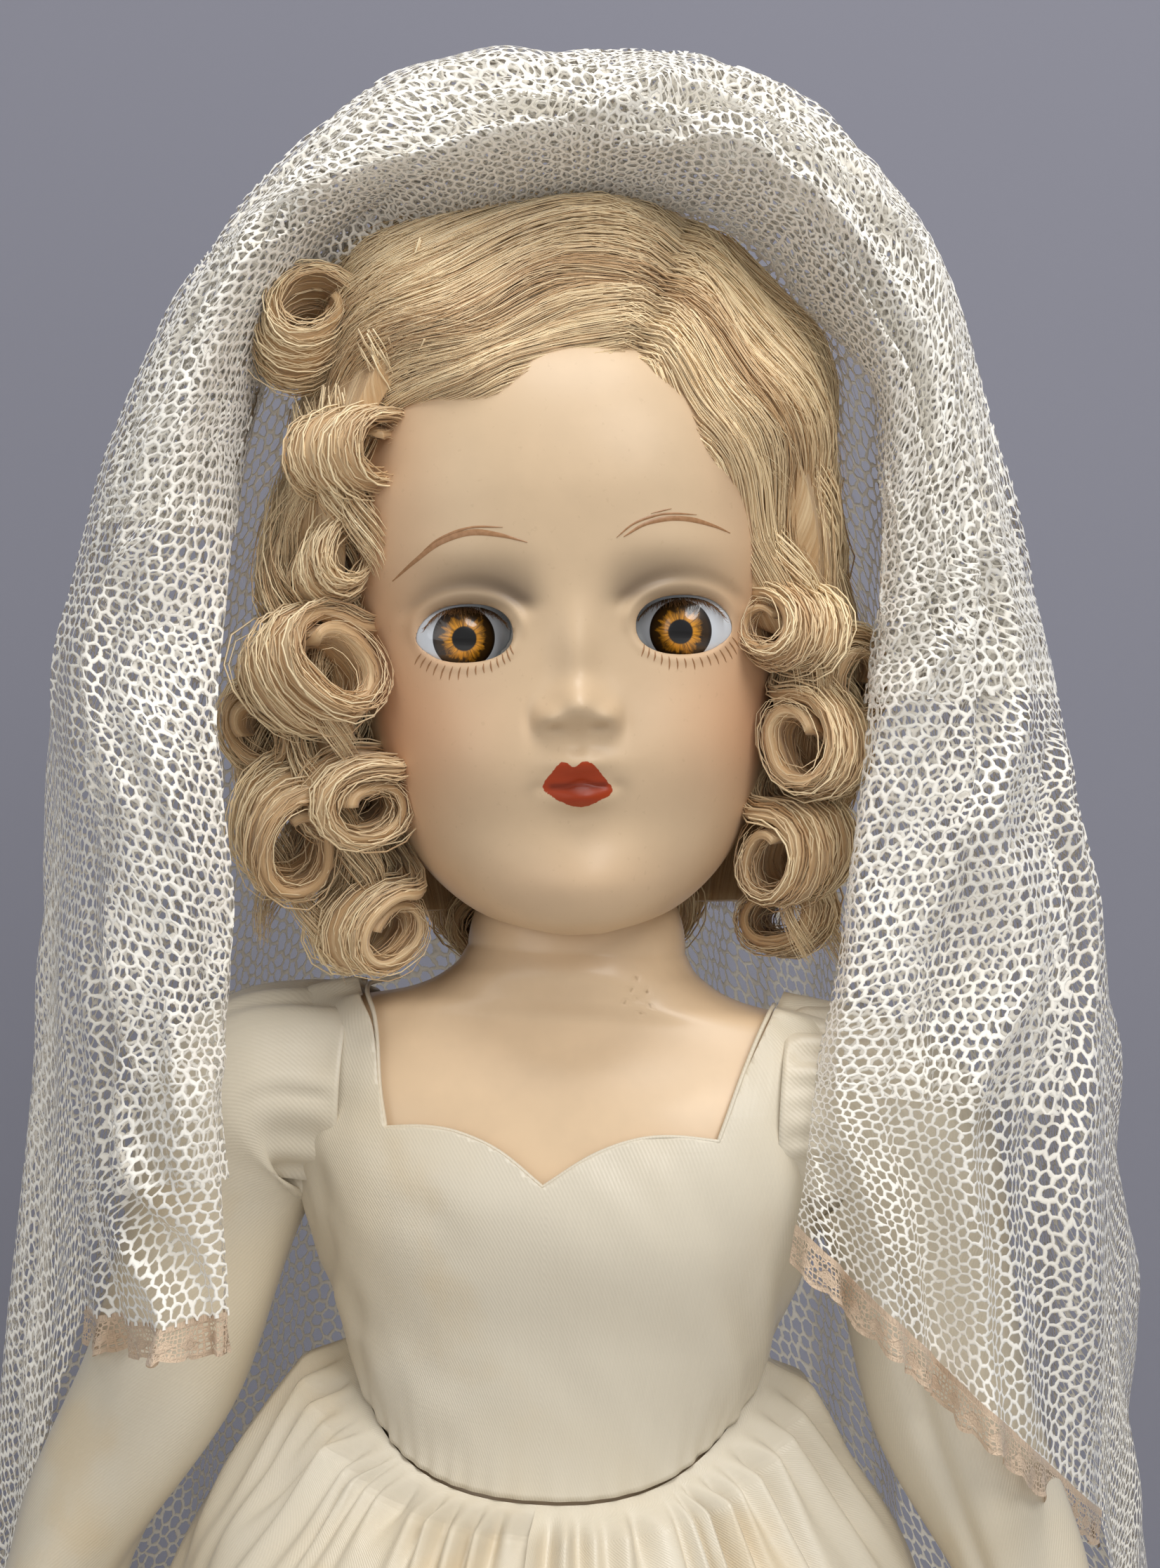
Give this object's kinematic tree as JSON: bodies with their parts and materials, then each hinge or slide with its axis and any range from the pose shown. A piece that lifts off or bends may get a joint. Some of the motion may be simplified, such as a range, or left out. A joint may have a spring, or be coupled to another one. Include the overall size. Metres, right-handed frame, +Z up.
{
  "type": "composition bride doll",
  "caption": "Strung composition doll, 56 cm with its veil, in a satin wedding gown, with sleep eyes, a curled mohair wig and a net veil edged with lace.",
  "frame": {"origin": "on the floor under the middle of the whole doll's bounding box, between the shoes", "axes": "+Z up along the standing doll, -Y the way the doll's chest faces, +X towards the doll's left hand"},
  "size_m": [0.2672, 0.2672, 0.5628],
  "materials": {
    "composition": "pressed wood-flour composition, painted flesh and varnished",
    "satin": "ivory rayon satin, soft sheen",
    "cotton": "plain white cotton, matt",
    "net": "cream cotton bobbin net with hexagonal holes",
    "lace": "aged cream cotton lace with a scalloped edge",
    "mohair": "honey-blonde mohair with a soft gloss",
    "buckram": "stiff open cotton buckram",
    "eye_white": "bluish white, very glossy",
    "iris": "amber with radial streaks, glossy",
    "lash_hair": "brown hair",
    "steel_wire": "plain drawn wire, dull",
    "lead": "cast lead, dull grey",
    "plaster": "set plaster, chalky",
    "wood": "plain beech dowel",
    "elastic": "rubber core braided with cotton",
    "shoe_upper": "white leatherette, semi-gloss",
    "shoe_sole": "tan board, matt"
  },
  "bodies": {
    "torso": {"torso_front": "composition", "torso_back": "composition", "arm_elastic": "elastic", "leg_elastic": "elastic", "bodice": "satin", "bodice_placket": "satin", "bodice_snap_1": "steel_wire", "bodice_snap_2": "steel_wire", "skirt": "satin", "petticoat": "cotton", "panties": "cotton"},
    "head": {"head_face": "composition", "head_back": "composition", "eye_socket_left": "plaster", "eye_socket_right": "plaster", "neck_bar": "wood", "neck_hook": "steel_wire", "wig_cap": "buckram", "hair_crown": "mohair", "curl_1": "mohair", "curl_2": "mohair", "curl_3": "mohair", "curl_4": "mohair", "curl_5": "mohair", "curl_6": "mohair", "curl_7": "mohair", "curl_8": "mohair", "curl_9": "mohair", "curl_10": "mohair", "curl_11": "mohair", "veil_front": "net", "veil_back": "net", "veil_lace_right": "lace", "veil_lace_left": "lace", "veil_lace_back": "lace"},
    "eyes": {"eyeball_left": "eye_white", "eyeball_right": "eye_white", "iris_left": "iris", "iris_right": "iris", "lashes_left": "lash_hair", "lashes_right": "lash_hair", "eye_rocker_wire": "steel_wire", "eye_weight": "lead"},
    "arm_left": {"arm_left": "composition", "arm_hook_left": "steel_wire", "sleeve_left": "satin"},
    "leg_left": {"leg_left": "composition", "leg_hook_left": "steel_wire", "sock_left": "cotton", "shoe_left": "shoe_upper", "sole_left": "shoe_sole"},
    "arm_right": {"arm_right": "composition", "arm_hook_right": "steel_wire", "sleeve_right": "satin"},
    "leg_right": {"leg_right": "composition", "leg_hook_right": "steel_wire", "sock_right": "cotton", "shoe_right": "shoe_upper", "sole_right": "shoe_sole"}
  },
  "joints": [
    {"name": "neck_turn", "type": "hinge", "parent": "torso", "child": "head", "pos_m": [0, 0.002, 0.405], "axis": [0, 0, 1], "range_deg": [-60, 60], "deforming": ["veil_front", "veil_back", "veil_lace_right", "veil_lace_left", "veil_lace_back", "leg_elastic"]},
    {"name": "eyes_close", "type": "hinge", "parent": "head", "child": "eyes", "pos_m": [-0.00096, -0.0219, 0.45929], "axis": [0.9872, 0.1387, 0.0785], "range_deg": [0, 55], "deforming": ["lashes_left", "lashes_right"]},
    {"name": "shoulder_left", "type": "hinge", "parent": "torso", "child": "arm_left", "pos_m": [0.0473, 0, 0.378], "axis": [-1, 0, 0], "range_deg": [-30, 120], "deforming": ["arm_elastic", "veil_front", "veil_back", "veil_lace_right", "veil_lace_left", "veil_lace_back"]},
    {"name": "shoulder_right", "type": "hinge", "parent": "torso", "child": "arm_right", "pos_m": [-0.0473, 0, 0.378], "axis": [-1, 0, 0], "range_deg": [-30, 120], "deforming": ["arm_elastic", "veil_front", "veil_back", "veil_lace_right", "veil_lace_left", "veil_lace_back"]},
    {"name": "hip_left", "type": "hinge", "parent": "torso", "child": "leg_left", "pos_m": [0.0083, 0, 0.258], "axis": [-1, 0, 0], "range_deg": [-10, 80], "deforming": ["leg_elastic", "skirt", "petticoat", "panties"]},
    {"name": "hip_right", "type": "hinge", "parent": "torso", "child": "leg_right", "pos_m": [-0.0083, 0, 0.258], "axis": [-1, 0, 0], "range_deg": [-10, 80], "deforming": ["leg_elastic", "skirt", "petticoat", "panties"]}
  ]
}
